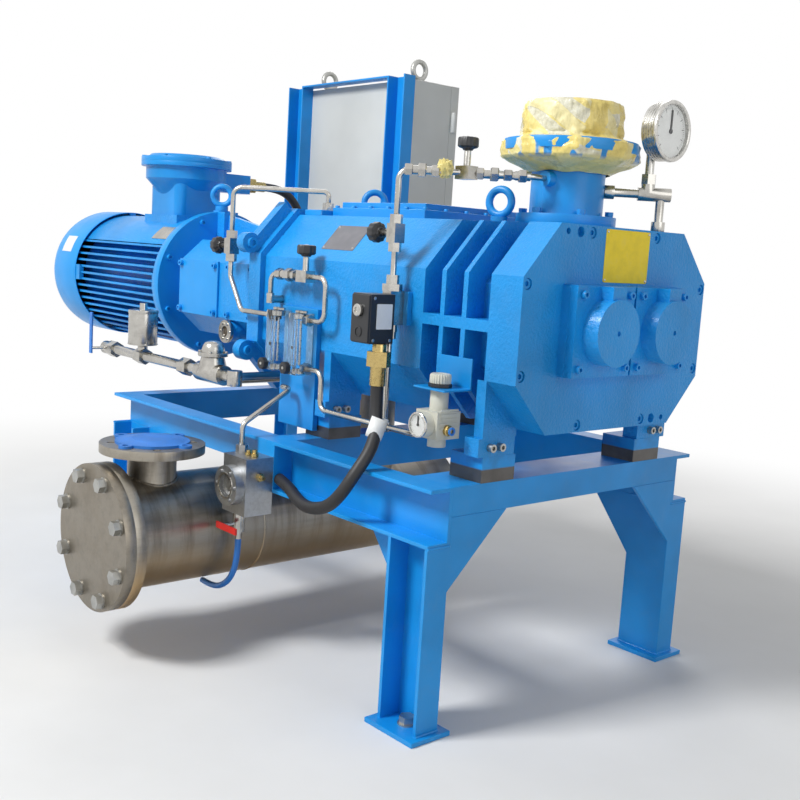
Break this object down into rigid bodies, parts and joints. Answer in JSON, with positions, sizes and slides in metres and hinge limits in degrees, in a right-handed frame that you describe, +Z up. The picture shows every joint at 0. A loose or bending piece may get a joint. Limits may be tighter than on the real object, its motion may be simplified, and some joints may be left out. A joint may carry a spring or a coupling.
{
  "type": "dry screw vacuum pump",
  "caption": "Dry screw vacuum pump with motor, silencer tank, gas and water piping and switch cabinet on a channel-steel skid.",
  "frame": {"origin": "on the floor, at the centre of the skid's four anchor holes", "axes": "+X along the rotor axes from the motor to the bearing covers, -Y the side with the valves, +Z up"},
  "size_m": [2.156, 1.408, 1.506],
  "materials": {
    "blue_paint": "gloss enamel over castings",
    "stainless": "brushed stainless",
    "bright_steel": "plated fasteners",
    "machined": "machined steel",
    "brass_metal": "bare brass",
    "black_plastic": "matt black",
    "blue_plastic": "moulded blue",
    "red_plastic": "red vinyl sleeve",
    "cream_plastic": "moulded cream",
    "clear_plastic": "clear acrylic",
    "rubber_hose": "black corrugated sleeve",
    "blue_hose": "soft blue hose",
    "wrap_film": "taped packing film",
    "cabinet_paint": "powder coat",
    "dial_metal": "gauge case"
  },
  "bodies": {
    "skid": {"side_rails": "blue_paint", "cross_beams": "blue_paint", "front_legs": "blue_paint", "rear_legs": "blue_paint", "pump_housing": "blue_paint", "end_cover": "blue_paint", "bearing_covers": "blue_paint", "socket_screws": "blue_paint", "gear_case": "blue_paint", "gear_case_cover": "blue_paint", "access_cover": "blue_paint", "lifting_eyes": "machined", "foot_blocks": "blue_paint", "motor_flange": "blue_paint", "motor_frame": "blue_paint", "fan_cowl": "blue_paint", "terminal_box": "blue_paint", "terminal_lid": "blue_paint", "inlet_port": "blue_paint", "inlet_wrap": "wrap_film", "gauge_pipe": "stainless", "vacuum_gauge": "dial_metal", "silencer_tank": "stainless", "tank_blind_flange": "stainless", "bright_fasteners": "bright_steel", "instrument_brackets": "blue_paint", "flow_meters": "clear_plastic", "tube_fittings": "stainless", "instrument_tubes": "stainless", "solenoid_coil": "black_plastic", "air_regulator": "cream_plastic", "sight_block": "machined", "drain_valve": "stainless", "drain_hose": "blue_hose", "water_pipe": "stainless", "transmitter": "stainless", "cabinet_stand": "blue_paint", "cabinet_box": "cabinet_paint", "cable_glands": "brass_metal", "motor_conduit": "rubber_hose", "signal_conduit": "rubber_hose"},
    "drive_line": {"drive_rotor": "machined", "cooling_fan": "black_plastic"},
    "driven_screw": {"driven_rotor": "machined"},
    "case_knob": {"valve_knob_case": "black_plastic"},
    "loop_knob": {"valve_knob_loop": "black_plastic"},
    "stack_knob": {"valve_knob_stack": "black_plastic"},
    "purge_knob": {"valve_knob_purge": "black_plastic"},
    "left_meter_knob": {"meter_knob_left": "black_plastic"},
    "right_meter_knob": {"meter_knob_right": "black_plastic"},
    "pressure_knob": {"regulator_knob": "cream_plastic"},
    "drain_handle": {"drain_lever": "red_plastic"},
    "water_handle": {"water_lever": "blue_plastic"},
    "door": {"cabinet_door": "cabinet_paint"},
    "door_handle": {"cabinet_handle": "black_plastic"},
    "vacuum_hand": {"vacuum_pointer": "black_plastic"},
    "pressure_hand": {"regulator_pointer": "black_plastic"},
    "dust_cap": {"nozzle_cap": "blue_plastic"}
  },
  "joints": [
    {"name": "drive_spin", "type": "hinge", "parent": "skid", "child": "drive_line", "pos_m": [0, -0.09, 0.79], "axis": [1, 0, 0], "continuous": true},
    {"name": "driven_spin", "type": "hinge", "parent": "skid", "child": "driven_screw", "pos_m": [0, 0.09, 0.79], "axis": [1, 0, 0], "continuous": true},
    {"name": "case_knob_turn", "type": "hinge", "parent": "skid", "child": "case_knob", "pos_m": [-0.26, -0.322, 0.905], "axis": [-1, 0, 0], "range_deg": [0, 1440]},
    {"name": "loop_knob_turn", "type": "hinge", "parent": "skid", "child": "loop_knob", "pos_m": [0.091, -0.322, 0.893], "axis": [0, 0, 1], "range_deg": [0, 1440]},
    {"name": "stack_knob_turn", "type": "hinge", "parent": "skid", "child": "stack_knob", "pos_m": [0.345, -0.322, 0.954], "axis": [-1, 0, 0], "range_deg": [0, 1440]},
    {"name": "purge_knob_turn", "type": "hinge", "parent": "skid", "child": "purge_knob", "pos_m": [0.476, -0.22275, 1.12], "axis": [0, 0, 1], "range_deg": [0, 1440]},
    {"name": "left_meter_turn", "type": "hinge", "parent": "skid", "child": "left_meter_knob", "pos_m": [-0.003, -0.35, 0.646], "axis": [0, -1, 0], "range_deg": [0, 1440]},
    {"name": "right_meter_turn", "type": "hinge", "parent": "skid", "child": "right_meter_knob", "pos_m": [0.084, -0.35, 0.646], "axis": [0, -1, 0], "range_deg": [0, 1440]},
    {"name": "pressure_knob_turn", "type": "hinge", "parent": "skid", "child": "pressure_knob", "pos_m": [0.554, -0.33, 0.668], "axis": [0, 0, 1], "range_deg": [-720, 720]},
    {"name": "drain_handle_turn", "type": "hinge", "parent": "skid", "child": "drain_handle", "pos_m": [0.056, -0.4935, 0.296], "axis": [0, 1, 0], "range_deg": [0, 90]},
    {"name": "water_handle_turn", "type": "hinge", "parent": "skid", "child": "water_handle", "pos_m": [-0.743, -0.432, 0.6], "axis": [0, 1, 0], "range_deg": [0, 90]},
    {"name": "door_swing", "type": "hinge", "parent": "skid", "child": "door", "pos_m": [-0.4555, 0.616, 1.1], "axis": [0, 0, -1], "range_deg": [0, 120]},
    {"name": "door_handle_turn", "type": "hinge", "parent": "door", "child": "door_handle", "pos_m": [-1.021, 0.64, 1.135], "axis": [0, 1, 0], "range_deg": [0, 90]},
    {"name": "vacuum_hand_turn", "type": "hinge", "parent": "skid", "child": "vacuum_hand", "pos_m": [0.7065, 0.116, 1.19], "axis": [-1, 0, 0], "range_deg": [-135, 135]},
    {"name": "pressure_hand_turn", "type": "hinge", "parent": "skid", "child": "pressure_hand", "pos_m": [0.554, -0.375, 0.597], "axis": [0, 1, 0], "range_deg": [-135, 135]},
    {"name": "dust_cap_lift", "type": "slide", "parent": "skid", "child": "dust_cap", "axis": [0, 0, 1], "range_m": [0, 0.06]}
  ],
  "couplings": [
    {"joint": "driven_spin", "follows": "drive_spin", "ratio": -1}
  ]
}
